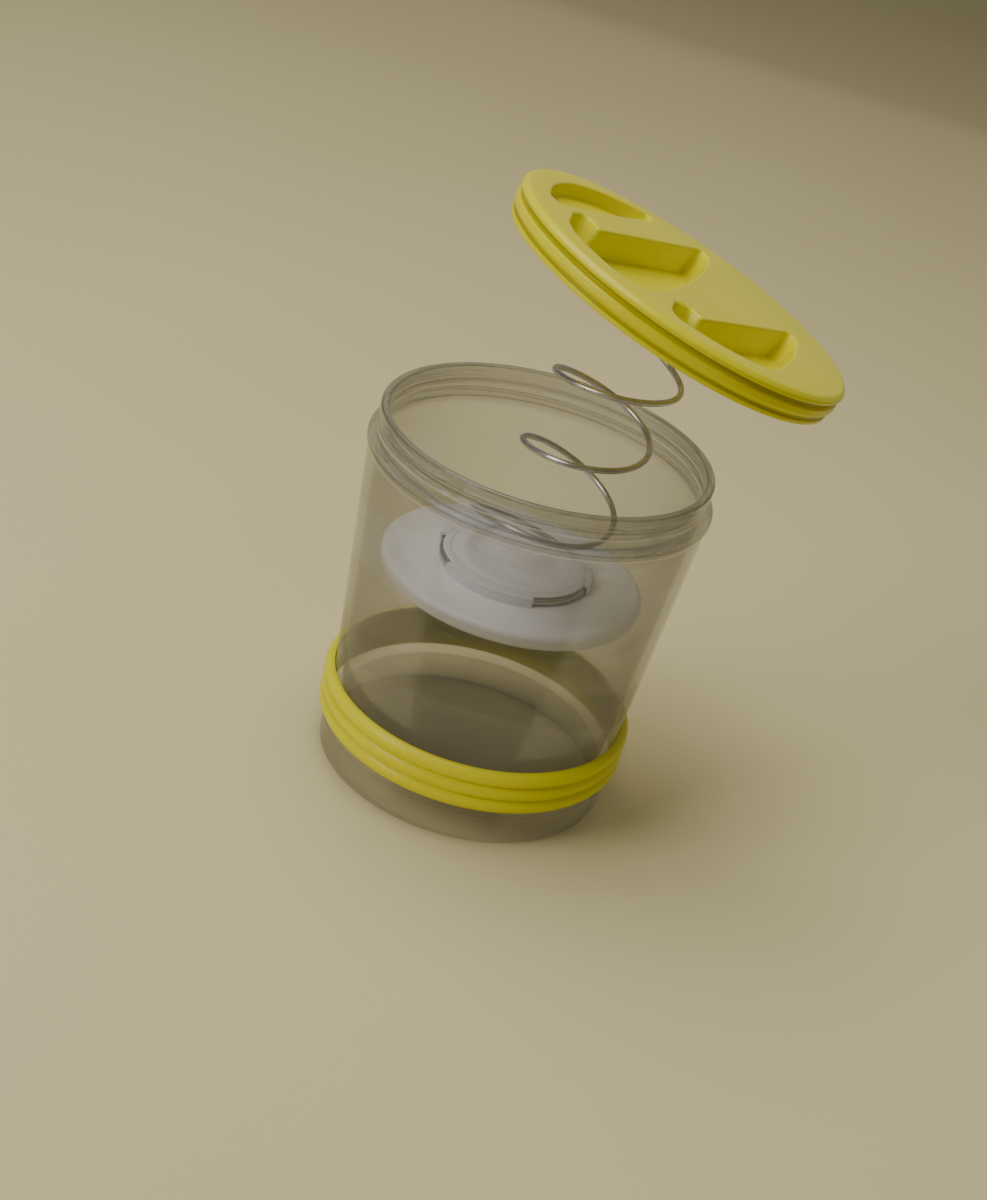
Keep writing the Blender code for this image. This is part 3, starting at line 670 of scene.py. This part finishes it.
# %% White plastic and the press plate
def white_finish():
    look = Look("white_plastic", IOR=1.49, Subsurface_Weight=0.25, Subsurface_Scale=0.005,
                Subsurface_Radius=(1.0, 0.93, 0.88), Coat_Roughness=0.1)
    cloud = look.noise(30.0, 3.0).within(0.3, 0.7)
    colour = look.blend(cloud, (0.90, 0.88, 0.89, 1.0), (0.93, 0.91, 0.92, 1.0))
    rough = look.noise(120.0, 4.0) * 0.15 + 0.28
    skin = look.noise(700.0, 2.0)
    return look.feed(Base_Color=colour, Roughness=rough, Normal=look.bump(skin, 0.06, SKIN_DEPTH))


white_plastic = white_finish()
PLATE_TOP, BOSS_TOP, HOOK_LOW, HOOK_TOP = 0.0762, 0.0794, 0.0787, 0.0795
PLATE_CORNERS = [
    (0.0, BOSS_TOP - 0.0004),
    (0.0150, BOSS_TOP - 0.0004, 0.005),
    (0.0175, BOSS_TOP, 0.005),
    (0.0222, BOSS_TOP, 0.0004),
    (0.0222, PLATE_TOP, 0.0006),
    (0.0428, PLATE_TOP, 0.0022),
    (0.0441, 0.0749, 0.0015),
    (0.0438, 0.0714, 0.0020),
    (0.0400, 0.0697, 0.003),
    (0.0, 0.0697),
]
PLATE_HOOKS_DEG = ((218.0, 290.0), (-13.0, 16.0), (128.0, 172.0))
BRIM_DEG = (95.0, 398.0)
BRIM_RADII, HOOK_RADII, LIP_RADII = (0.0216, 0.0243), (0.0232, 0.0264), (0.0256, 0.0264)
HOOK_DROP, LIP_DROP, LIP_SUNK = 0.00005, 0.0002, 0.0004


def gathered(shape, *meshes):
    """Several meshes put into one."""
    for mesh in meshes:
        shape.from_mesh(mesh)
    return shape


def white_bar(radii, heights, span_deg):
    """One white bar between two radii, two heights and two directions."""
    return bars_mesh(*radii, *heights, span_deg[0], span_deg[1] - span_deg[0], 1, white_plastic)


def plate_hooks():
    """A brim over the wire, and hooks with a lip in front of it, each a hair lower than the last."""
    made = [white_bar(BRIM_RADII, (HOOK_LOW, HOOK_TOP), BRIM_DEG)]
    for span in PLATE_HOOKS_DEG:
        made.append(white_bar(HOOK_RADII, (HOOK_LOW, HOOK_TOP - HOOK_DROP), span))
        made.append(white_bar(LIP_RADII, (PLATE_TOP - LIP_SUNK, HOOK_TOP - LIP_DROP), span))
    return made


plate = gathered(turned(rounded(PLATE_CORNERS)), *plate_hooks())
finish_piece("press_plate_disc", plate, white_plastic, "plate", "press_plate", slot="white_plastic")

# %% [markdown]
# The lid is held up at a slant: it leans to the right by 17.6 degrees, a little away from the viewer, and
# its middle is moved aside. All its parts are made level, with zero at the groove round its side, and then
# set in that pose.

# %% Pose of the lid
LEAN_DEG, TILT_DEG, ASIDE, HEIGHT = 9.7, 17.6, 0.0265, 0.17744


def leaning(aside, height):
    """A point in the upright plane in which the lid leans."""
    lean = math.radians(LEAN_DEG)
    return Vector((aside * math.cos(lean), aside * math.sin(lean), height))


def lid_pose():
    turn = Matrix.Rotation(math.radians(LEAN_DEG), 4, "Z")
    tilt = Matrix.Rotation(math.radians(TILT_DEG), 4, "Y")
    return Matrix.Translation(leaning(ASIDE, HEIGHT)) @ turn @ tilt @ turn.inverted()


pose = lid_pose()
print("lid centre", [round(value * 1000, 2) for value in pose.translation], "mm")

# %% [markdown]
# The spring is one wire. It lies on the plate for most of a turn, climbs in open coils whose middle line
# bows towards the lid, and ends in a turn that lies under the lid. A few stations give the distance aside,
# height and coil radius at even turns, and a smooth curve runs through them.

# %% Course of the spring
WIRE_RADIUS, WIRE_SIDES = 0.0010, 12
LOW_COIL = (0.0, 0.0775, 0.0243)
TOP_COIL_DROP, TOP_COIL_RADIUS = -0.0111, 0.0166
START_DEG, DEAD_LOW, DEAD_TOP, OPEN_TURNS = 43.7, 0.80, 0.62, 4.06
EASE, LOOK_ROUND_TURNS, POINTS_A_TURN = 0.16, 0.1, 64
ROUTE = [
    (0.0062, 0.0955, 0.0206), (0.0099, 0.1115, 0.0194), (0.0123, 0.1263, 0.0189),
    (0.0145, 0.1405, 0.0189), (0.0168, 0.1531, 0.0191), (0.0206, 0.1630, 0.0180),
]
tilt = math.radians(TILT_DEG)
TOP_COIL = (ASIDE + TOP_COIL_DROP * math.sin(tilt), HEIGHT + TOP_COIL_DROP * math.cos(tilt), TOP_COIL_RADIUS)
STATIONS = [Vector(place) for place in (LOW_COIL, *ROUTE, TOP_COIL)]


def smooth(value):
    value = min(1.0, max(0.0, value))
    return value * value * (3 - 2 * value)


def course(share):
    """Distance aside, height and coil radius at a share of the open turns."""
    last = len(STATIONS) - 1
    at = min(1.0, max(0.0, share)) * last
    i = min(int(at), last - 1)
    part, rest = at - i, 1 - (at - i)
    slopes = []
    for k in (i, i + 1):
        low, high = max(k - 1, 0), min(k + 1, last)
        slopes.append((STATIONS[high] - STATIONS[low]) / (high - low))
    value = STATIONS[i] * rest**2 * (1 + 2 * part) + STATIONS[i + 1] * part**2 * (3 - 2 * part)
    return value + slopes[0] * part * rest**2 - slopes[1] * part**2 * rest


def wire_point(turns):
    """The wire's middle at a number of turns, which are counted from where it leaves the plate."""
    angle = math.radians(START_DEG) + 2 * math.pi * turns
    share = min(1.0, max(0.0, turns / OPEN_TURNS))
    aside, height, radius = course(share)
    step = LOOK_ROUND_TURNS / OPEN_TURNS
    change = course(share + step) - course(share - step)
    upright = Vector((0.0, 0.0, 1.0))
    low_part, high_part = 1 - smooth(share / EASE), smooth((share - 1) / EASE + 1)
    along = (leaning(change[0], change[1]).normalized() * (1 - low_part) + upright * low_part).normalized()
    along = (along * (1 - high_part) + (pose.to_3x3() @ upright) * high_part).normalized()
    depth = Matrix.Rotation(math.radians(LEAN_DEG), 3, "Z") @ Vector((0.0, 1.0, 0.0))
    side = depth.cross(along).normalized()
    return leaning(aside, height) + radius * (math.cos(angle) * side + math.sin(angle) * depth)


first_turn, last_turn = -DEAD_LOW, OPEN_TURNS + DEAD_TOP
steps = round((last_turn - first_turn) * POINTS_A_TURN)
turns_at = [first_turn + (last_turn - first_turn) * i / steps for i in range(steps + 1)]
wire_points = [wire_point(turns) for turns in turns_at]
print("wire is", round(sum((b - a).length for a, b in zip(wire_points, wire_points[1:])) * 1000), "mm long")

# %% [markdown]
# Drawn wire is not a mirror. A very fine noise roughens its skin, a wider one makes its gloss uneven, and
# the wire is darker than bright steel where it has lost its shine in brine. A tree sweeps a round section
# along a stretch of it.

# %% Spring steel and the wire
def steel_finish():
    look = Look("spring_steel", Metallic=1.0)
    stain = look.noise(120.0, 4.0).within(0.35, 0.7)
    colour = look.blend(stain, (0.58, 0.56, 0.55, 1.0), (0.42, 0.41, 0.40, 1.0))
    rough = look.noise(260.0, 3.0) * 0.10 + 0.26
    lines = look.noise(1500.0, 2.0)
    return look.feed(Base_Color=colour, Roughness=rough, Normal=look.bump(lines, 0.05, 0.00001))


def wire_tree():
    tree = Tree("swept_wire", {"Path": GEOMETRY, "Wire Radius": FLOAT, "Sides": WHOLE, "Finish": MATERIAL})
    section = tree.node("GeometryNodeCurvePrimitiveCircle", values={
        "Resolution": tree.given("Sides"), "Radius": tree.given("Wire Radius"),
    })
    sweep = tree.node("GeometryNodeCurveToMesh", values={
        "Curve": tree.given("Path"), "Profile Curve": section.outputs[0], "Fill Caps": True,
    })
    return tree.close(sweep.outputs[0])


spring_steel = steel_finish()
wire_sweep = wire_tree()
print("made", spring_steel.name, "and the tree", wire_sweep.name)


def wire_stretch(points):
    """A stretch of the wire, closed at both ends."""
    line = bpy.data.curves.new("wire_line", "CURVE")
    line.dimensions = "3D"
    spline = line.splines.new("POLY")
    spline.points.add(len(points) - 1)
    for target, point in zip(spline.points, points):
        target.co = (*point, 1.0)
    values = {"Wire Radius": WIRE_RADIUS, "Sides": WIRE_SIDES, "Finish": spring_steel}
    return run_tree(wire_sweep, values, line)


# %% [markdown]
# The spring gives with three joints: the plate slides in the jar, the lid sinks onto the neck, and the lid
# swings level. A piece can bend across one joint only, so the open coils are in three stretches, each listed
# with the two bodies at its ends. One long piece would be squeezed flat by such a bend, so each stretch is
# cut into short pieces, which are tied to no body. For each of them, its shares of the stretch's climb at
# its two ends are worked out from how high the coils' middle line has climbed there, and its transform is
# baked into its mesh. Neighbours share an end.

# %% The spring, piece by piece
CUT_HEIGHTS = (0.1060, 0.1170)
POINTS_A_PIECE = 8
STRETCHES = (("lower", "plate", "jar"), ("middle", "jar", "spring"), ("upper", "spring", "retainer"))


def climb(i):
    """How high the open coils' middle line has climbed at a point of the wire."""
    return course(turns_at[i] / OPEN_TURNS)[1]


def point_at(height):
    """The first point of the wire at which its middle line is as high as this."""
    return next(i for i in range(steps + 1) if climb(i) >= height)


def unsmooth(value):
    """The place at which a smooth step from zero to one has this value."""
    return 0.5 - math.sin(math.asin(1 - 2 * min(1.0, max(0.0, value))) / 3)


def bend_piece(piece, i, j, low, high):
    """Work out a short piece's shares of a stretch's climb at its two ends, and bake its transform into its
    mesh.
    """
    near, far = (unsmooth((climb(k) - low) / (high - low)) for k in (i, j))
    way = (wire_points[j] - wire_points[i]) / (far - near)
    begin = wire_points[i] - way * near
    tuple(begin + way)
    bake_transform(piece)


def spring_piece(name, i, j, body=None):
    mesh = wire_stretch(wire_points[i : j + 1])
    return finish_piece(name, mesh, spring_steel, body, "press_spring", slot="spring_steel")


lifted = round(DEAD_LOW * POINTS_A_TURN)
landed = round((DEAD_LOW + OPEN_TURNS) * POINTS_A_TURN)
cuts = [lifted, *(point_at(height) for height in CUT_HEIGHTS), landed]
spring_piece("spring_on_plate", 0, lifted, "plate")
for (name, near_body, far_body), low, high in zip(STRETCHES, cuts, cuts[1:]):
    count = round((high - low) / POINTS_A_PIECE)
    ends = [low + round((high - low) * n / count) for n in range(count + 1)]
    for n, (i, j) in enumerate(zip(ends, ends[1:]), 1):
        piece = spring_piece(f"spring_{name}_{n:02d}", i, j)
        bend_piece(piece, i, j, climb(low), climb(high))
    print("the", name, "stretch is in", count, "pieces")
spring_piece("spring_under_lid", landed, steps, "retainer")

# %% [markdown]
# Under the lid, a white ring is clipped on a boss and holds the spring's top turn with three hooks, so that
# the lid can turn while the spring stands still. A soft seal lies in the groove that takes the jar's rim.

# %% Retainer and seal
RETAINER_CORNERS = [
    (0.0094, -0.0071, 0.0004), (0.0210, -0.0071, 0.0006), (0.0210, -0.0099, 0.0006),
    (0.0153, -0.0099, 0.0004), (0.0153, -0.0144, 0.0005), (0.0120, -0.0144, 0.0005),
    (0.0120, -0.0099, 0.0004), (0.0094, -0.0099, 0.0004),
]
RETAINER_POINTS = 128
RETAINER_HOOK_RADII, RETAINER_HOOK_HEIGHTS = (0.0143, 0.0193), (-0.0141, -0.0125)
RETAINER_HOOKS_DEG = ((85.0, 130.0), (160.0, 205.0), (240.0, 285.0))
SEAL_CORNERS = [
    (0.0495, 0.0019, 0.0004), (0.0552, 0.0019, 0.0004),
    (0.0552, 0.0003, 0.0006), (0.0495, 0.0003, 0.0006),
]

hooks = [white_bar(RETAINER_HOOK_RADII, RETAINER_HOOK_HEIGHTS, span) for span in RETAINER_HOOKS_DEG]
ring = turned(rounded(RETAINER_CORNERS, closed=True), closed=True, count=RETAINER_POINTS)
retainer = gathered(ring, *hooks)
finish_piece("retainer_ring", retainer, white_plastic, "retainer", "spring_retainer",
             slot="white_plastic", turn=pose)


def seal_finish():
    look = Look("soft_seal", IOR=1.41, Subsurface_Weight=0.2, Subsurface_Scale=0.002)
    dust = look.noise(60.0, 4.0).within(0.35, 0.7)
    colour = look.blend(dust, (0.78, 0.78, 0.73, 1.0), (0.70, 0.70, 0.66, 1.0))
    rough = look.noise(200.0, 3.0) * 0.2 + 0.5
    skin = look.noise(1200.0, 2.0)
    return look.feed(Base_Color=colour, Roughness=rough, Normal=look.bump(skin, 0.1, SKIN_DEPTH))


seal = turned(rounded(SEAL_CORNERS, closed=True), closed=True)
finish_piece("lid_seal_ring", seal, seal_finish(), "lid", "lid_seal", slot="seal", turn=pose)

# %% [markdown]
# The lid's top is flat, with three pockets sunk into it for the fingers, and the ribs are what is left
# between them. Each pocket starts as an outline, drawn as a few corners with their roundings. Where it runs
# along the lid's edge, its corners lie on a circle round the lid's middle. The outline is then cut into
# short, even steps.

# %% Pocket outlines
POCKET_REACH, REACH_ROUNDING = 0.0487, 0.02
OUTLINE_STEP, OUTLINE_ARC_STEP = 0.0004, math.radians(4)


def arc_corners(start_deg, end_deg, count):
    """Corners on a circle round the lid's middle."""
    angles = [math.radians(start_deg + (end_deg - start_deg) * i / (count - 1)) for i in range(count)]
    reach, size = POCKET_REACH, REACH_ROUNDING
    return [(reach * math.cos(angle), reach * math.sin(angle), size) for angle in angles]


middle_pocket = [
    (0.0044, 0.0480, 0.0016), (0.0066, 0.0412, 0.016), (0.0052, 0.0240, 0.05), (-0.0002, -0.0030, 0.05),
    (-0.0066, -0.0275, 0.012), (-0.0135, -0.0425, 0.004),
    *arc_corners(-118, -141, 6),
    (-0.0402, -0.0240, 0.008), (-0.0402, -0.0110, 0.0036), (-0.0375, -0.0038, 0.0028),
    (-0.0336, -0.0055, 0.0014), (-0.0320, -0.0123, 0.0014),
]
side_pocket = [
    (0.0378, 0.0170, 0.0016), (0.0396, 0.0085, 0.016), (0.0366, -0.0130, 0.02), (0.0318, -0.0300, 0.006),
    *arc_corners(-54, -94, 7),
    (-0.0048, -0.0432, 0.0030), (-0.0042, -0.0325, 0.0036), (0.0008, -0.0302, 0.0020),
    (0.0050, -0.0337, 0.0014),
]
shallow_pocket = [
    *arc_corners(109, 190, 12),
    (-0.0445, -0.0105, 0.002), (-0.0260, 0.0210, 0.03), (-0.0158, 0.0410, 0.003),
]


def outline_points(corners):
    """Evenly spaced points along a closed outline with rounded corners, in the same sense for all of them."""
    path = rounded(corners, closed=True, arc_step=OUTLINE_ARC_STEP)
    lengths = [(path[(i + 1) % len(path)] - path[i]).length for i in range(len(path))]
    total = sum(lengths)
    count = round(total / OUTLINE_STEP)
    points, along, i = [], 0.0, 0
    for k in range(count):
        target = total * k / count
        while along + lengths[i] < target:
            along += lengths[i]
            i += 1
        share = (target - along) / lengths[i]
        points.append(path[i].lerp(path[(i + 1) % len(path)], share))
    area = sum(a.cross(b) for a, b in zip(points, points[1:] + points[:1]))
    return points if area > 0 else points[::-1]


outlines = [outline_points(corners) for corners in (middle_pocket, side_pocket, shallow_pocket)]
print("pocket outlines:", [len(outline) for outline in outlines], "points")

# %% [markdown]
# The same outline, moved inwards by a little at each depth, gives a pocket's soft lip, its steep wall, its
# rounded foot and its floor. At four places a fingertip slides in: there the foot of the wall is moved
# further, which makes a scooped end.

# %% Pocket walls
LID_TOP, POCKET_FLOOR, SHALLOW_FLOOR = 0.0039, -0.0050, -0.0006
LIP, FOOT, DRAFT, FLAT_STRIP = 0.0008, 0.0008, 0.0002, 0.0003
QUARTER_TURN = [math.radians(angle) for angle in range(15, 91, 15)]
SOFT_ENDS = [
    # Each end: its place, how far it reaches, and where the foot of the wall goes.
    ((0.0064, 0.0440), 0.0130, (-0.0024, -0.0040)), ((0.0392, 0.0125), 0.0130, (-0.0024, -0.0040)),
    ((-0.0375, -0.0040), 0.0130, (0.0012, -0.0062)), ((-0.0035, -0.0315), 0.0130, (0.0022, -0.0050)),
]


def scoop(point):
    """How far the foot of a wall is moved, near the soft ends where a fingertip slides in."""
    shift = Vector((0.0, 0.0))
    for end, reach, way in SOFT_ENDS:
        shift += Vector(way) * smooth(1 - (point - Vector(end)).length / reach)
    return shift


def moved_in(points, distance, depth):
    """An outline moved inwards, and further at its soft ends the deeper it lies."""
    count = len(points)
    moved = []
    for i, point in enumerate(points):
        along = (points[(i + 1) % count] - points[i - 1]).normalized()
        moved.append(point + Vector((-along.y, along.x)) * distance + scoop(point) * depth)
    return moved


def pocket_sections(floor):
    """How far in and how high each ring of a pocket lies, from the flat top to the flat floor."""
    sections = [(-LIP - FLAT_STRIP, LID_TOP), (-LIP, LID_TOP)]
    sections += [(-LIP * (1 - math.sin(a)), LID_TOP - LIP * (1 - math.cos(a))) for a in QUARTER_TURN]
    sections += [(DRAFT, floor + FOOT)]
    sections += [(DRAFT + FOOT * (1 - math.cos(a)), floor + FOOT * (1 - math.sin(a))) for a in QUARTER_TURN]
    sections += [(DRAFT + FOOT + FLAT_STRIP, floor)]
    return sections


def pocket_rings(shape, outline, floor):
    rings = []
    for inward, height in pocket_sections(floor):
        depth = (LID_TOP - height) / (LID_TOP - floor)
        rings.append([shape.verts.new((*point, height)) for point in moved_in(outline, inward, depth)])
    for upper, lower in zip(rings, rings[1:]):
        join_rings(shape, upper, lower)
    return rings[0], rings[-1]


print("a deep pocket has", len(pocket_sections(POCKET_FLOOR)), "rings from its lip to its floor")

# %% [markdown]
# The rest of the lid is turned: a rounded edge, a side with two grooves, the skirt, the groove for the seal
# and the small boss that the retainer is clipped on. The top face is filled between its edge and the three
# lips, each pocket gets a floor, and four lugs are added inside the skirt. Light that falls into a groove
# comes out as deeper yellow, so the shader darkens two lines round the lid, which it finds by their height
# in the slanted lid's own direction.

# %% The lid
LID_POINTS = 256
LID_LUG_RADII, LID_LUG_HEIGHTS, LID_LUG_START_DEG = (0.0544, 0.0561), (-0.0060, -0.0038), -19.8
GROOVES = ((0.0005, 0.0010), (-0.0044, 0.0008))
GROOVE_REACH, GROOVE_DEPTH_OF_SHADE = (0.0553, 0.0558), 0.8
LID_SIDE = [
    # The top's edge and the side with its grooves.
    (0.0538, LID_TOP), (0.0562, 0.0037, 0.0020), (0.0577, 0.0024, 0.0010), (0.0575, 0.0014, 0.0005),
    (0.0558, 0.0009, 0.0003), (0.0558, -0.0001, 0.0003), (0.0573, -0.0006, 0.0005),
    (0.0575, -0.0028, 0.0012), (0.0560, -0.0040, 0.0003), (0.0560, -0.0047, 0.0003),
    (0.0567, -0.0050, 0.0003), (0.0566, -0.0063, 0.0006), (0.0556, -0.0063, 0.0003),
    # Inside the skirt, round the groove for the seal, and under the lid to the boss in its middle.
    (0.0555, 0.0022, 0.0004), (0.0492, 0.0022, 0.0004), (0.0492, -0.0068, 0.0016),
    (0.0091, -0.0068, 0.0004), (0.0091, -0.0102), (0.0098, -0.0105, 0.0002), (0.0098, -0.0110, 0.0003),
    (0.0089, -0.0116, 0.0002), (0.0065, -0.0116, 0.0002), (0.0065, -0.0068, 0.0004), (0.0, -0.0068),
]


def groove_shade(look):
    """Painted shade for the lid: one in the two grooves round its side, and zero elsewhere."""
    centre, upright = pose.translation, pose.to_3x3() @ Vector((0.0, 0.0, 1.0))
    place = look.place()
    height = look.node("ShaderNodeVectorMath", {"operation": "DOT_PRODUCT"}, {0: place, 1: upright}, output=1)
    reach = look.node("ShaderNodeVectorMath", {"operation": "DISTANCE"}, {0: place, 1: centre}, output=1)
    level = centre.dot(upright)
    lines = sum((height - level).line(deepest, half_width) for deepest, half_width in GROOVES)
    return lines * reach.within(*GROOVE_REACH) * GROOVE_DEPTH_OF_SHADE


def fill(shape, *rings):
    """A level face between closed rings of vertices."""
    pairs = [pair for ring in rings for pair in zip(ring, ring[1:] + ring[:1])]
    edges = [shape.edges.get(pair) or shape.edges.new(pair) for pair in pairs]
    bmesh.ops.triangle_fill(shape, use_beauty=True, use_dissolve=False, edges=edges, normal=(0, 0, 1))


def make_lid():
    shape = bmesh.new()
    rings = [ring_of(shape, point[0], point[1], LID_POINTS) for point in rounded(LID_SIDE)]
    for upper, lower in zip(rings, rings[1:]):
        join_rings(shape, upper, lower)
    brims, floors = [rings[0]], []
    for outline, floor in zip(outlines, (POCKET_FLOOR, POCKET_FLOOR, SHALLOW_FLOOR)):
        brim, bottom = pocket_rings(shape, outline, floor)
        brims.append(brim)
        floors.append(bottom)
    fill(shape, *brims)
    for bottom in floors:
        fill(shape, bottom)
    print("lid has", sum(1 for edge in shape.edges if not edge.is_manifold), "open edges")
    return shape


lid_yellow = yellow_finish("yellow_lid", 0.26, 0.03, 0.02, groove_shade)
lugs = bars_mesh(*LID_LUG_RADII, *LID_LUG_HEIGHTS, LID_LUG_START_DEG, LUG_SWEEP_DEG, LUGS, lid_yellow)
lid = gathered(make_lid(), lugs)
finish_piece("pocketed_lid", lid, lid_yellow, "lid", "lid", slot="yellow_lid", turn=pose)
